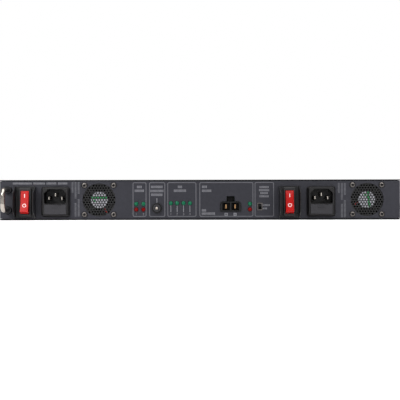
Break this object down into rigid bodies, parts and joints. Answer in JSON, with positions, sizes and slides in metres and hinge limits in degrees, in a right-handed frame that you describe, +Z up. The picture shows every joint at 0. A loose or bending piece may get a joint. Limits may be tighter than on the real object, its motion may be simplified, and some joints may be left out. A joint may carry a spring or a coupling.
{
  "type": "rackmount redundant power unit",
  "caption": "Flat rackmount power unit with mains inlets, guarded rocker switches, fans, status lamps, a DC input, DC outputs, a pull handle and rack ears.",
  "frame": {"origin": "centre of the chassis underside", "axes": "+Z up; the connector panel faces -Y, the rack ears and output ports are at +Y, and +X is to the right as one looks at the connector panel"},
  "size_m": [0.4826, 0.2814, 0.044],
  "materials": {
    "charcoal_paint": "fine matte powder coat",
    "black_plastic": "moulded, lightly textured",
    "grey_plastic": "moulded, fine texture",
    "red_plastic": "glossy moulded",
    "green_lens": "tinted epoxy",
    "red_lens": "tinted epoxy",
    "polished_nickel": "polished nickel plate",
    "zinc_plate": "zinc plated",
    "perforated_steel": "black painted perforated sheet",
    "tinned_contact": "bright tin plate",
    "board_laminate": "solder mask",
    "fuse_glass": "clear glass tube with plated caps",
    "module_aluminium": "extruded, clear anodised"
  },
  "bodies": {
    "chassis": {"base_tray": "charcoal_paint", "connector_panel": "charcoal_paint", "output_panel": "charcoal_paint", "top_cover": "charcoal_paint", "rack_ear_left": "charcoal_paint", "rack_ear_right": "charcoal_paint", "pull_handle": "polished_nickel", "button_bushing": "black_plastic", "source_switch_frame": "zinc_plate", "dc_input_connector": "black_plastic", "dc_output_block": "black_plastic", "control_board": "board_laminate", "buzzer": "black_plastic", "switch_guard_1": "charcoal_paint", "switch_housing_1": "black_plastic", "inlet_body_1": "black_plastic", "line_pin_1": "tinned_contact", "neutral_pin_1": "tinned_contact", "earth_pin_1": "tinned_contact", "fan_grille_1": "perforated_steel", "fan_frame_1": "black_plastic", "supply_module_1": "module_aluminium", "fan_1_screw_1": "zinc_plate", "fan_1_screw_2": "zinc_plate", "fan_1_screw_3": "zinc_plate", "fan_1_screw_4": "zinc_plate", "switch_guard_2": "charcoal_paint", "switch_housing_2": "black_plastic", "inlet_body_2": "black_plastic", "line_pin_2": "tinned_contact", "neutral_pin_2": "tinned_contact", "earth_pin_2": "tinned_contact", "fan_grille_2": "perforated_steel", "fan_frame_2": "black_plastic", "supply_module_2": "module_aluminium", "fan_2_screw_1": "zinc_plate", "fan_2_screw_2": "zinc_plate", "fan_2_screw_3": "zinc_plate", "fan_2_screw_4": "zinc_plate", "ac_1_green_led": "green_lens", "ac_2_green_led": "green_lens", "output_1_led": "green_lens", "output_2_led": "green_lens", "output_3_led": "green_lens", "output_4_led": "green_lens", "dc_in_green_led": "green_lens", "ac_1_red_led": "red_lens", "ac_2_red_led": "red_lens", "dc_in_red_led": "red_lens"},
    "rocker_body_1": {"rocker_1": "red_plastic"},
    "rocker_body_2": {"rocker_2": "red_plastic"},
    "fuse_drawer_body_1": {"fuse_drawer_1": "grey_plastic", "fuse_1": "fuse_glass"},
    "fuse_drawer_body_2": {"fuse_drawer_2": "grey_plastic", "fuse_2": "fuse_glass"},
    "fan_rotor_body_1": {"fan_rotor_1": "black_plastic"},
    "fan_rotor_body_2": {"fan_rotor_2": "black_plastic"},
    "mute_button_body": {"button_plunger": "polished_nickel"},
    "source_slider_body": {"source_slider": "black_plastic"}
  },
  "joints": [
    {"name": "rocker_1_tilt", "type": "hinge", "parent": "chassis", "child": "rocker_body_1", "pos_m": [-0.1915, -0.1278, 0.0195], "axis": [1, 0, 0], "range_deg": [0, 25]},
    {"name": "rocker_2_tilt", "type": "hinge", "parent": "chassis", "child": "rocker_body_2", "pos_m": [0.098, -0.1278, 0.0195], "axis": [1, 0, 0], "range_deg": [0, 25]},
    {"name": "fuse_drawer_1_slide", "type": "slide", "parent": "chassis", "child": "fuse_drawer_body_1", "axis": [0, -1, 0], "range_m": [0, 0.015]},
    {"name": "fuse_drawer_2_slide", "type": "slide", "parent": "chassis", "child": "fuse_drawer_body_2", "axis": [0, -1, 0], "range_m": [0, 0.015]},
    {"name": "fan_1_spin", "type": "hinge", "parent": "chassis", "child": "fan_rotor_body_1", "pos_m": [-0.1108, -0.1198, 0.022], "axis": [0, 1, 0], "continuous": true},
    {"name": "fan_2_spin", "type": "hinge", "parent": "chassis", "child": "fan_rotor_body_2", "pos_m": [0.1834, -0.1198, 0.022], "axis": [0, 1, 0], "continuous": true},
    {"name": "mute_button_press", "type": "slide", "parent": "chassis", "child": "mute_button_body", "axis": [0, 1, 0], "range_m": [0, 0.002], "stiffness_N_per_m": 400, "springref_m": -0.002},
    {"name": "source_select_slide", "type": "slide", "parent": "chassis", "child": "source_slider_body", "axis": [0, 0, -1], "range_m": [0, 0.0027]}
  ]
}
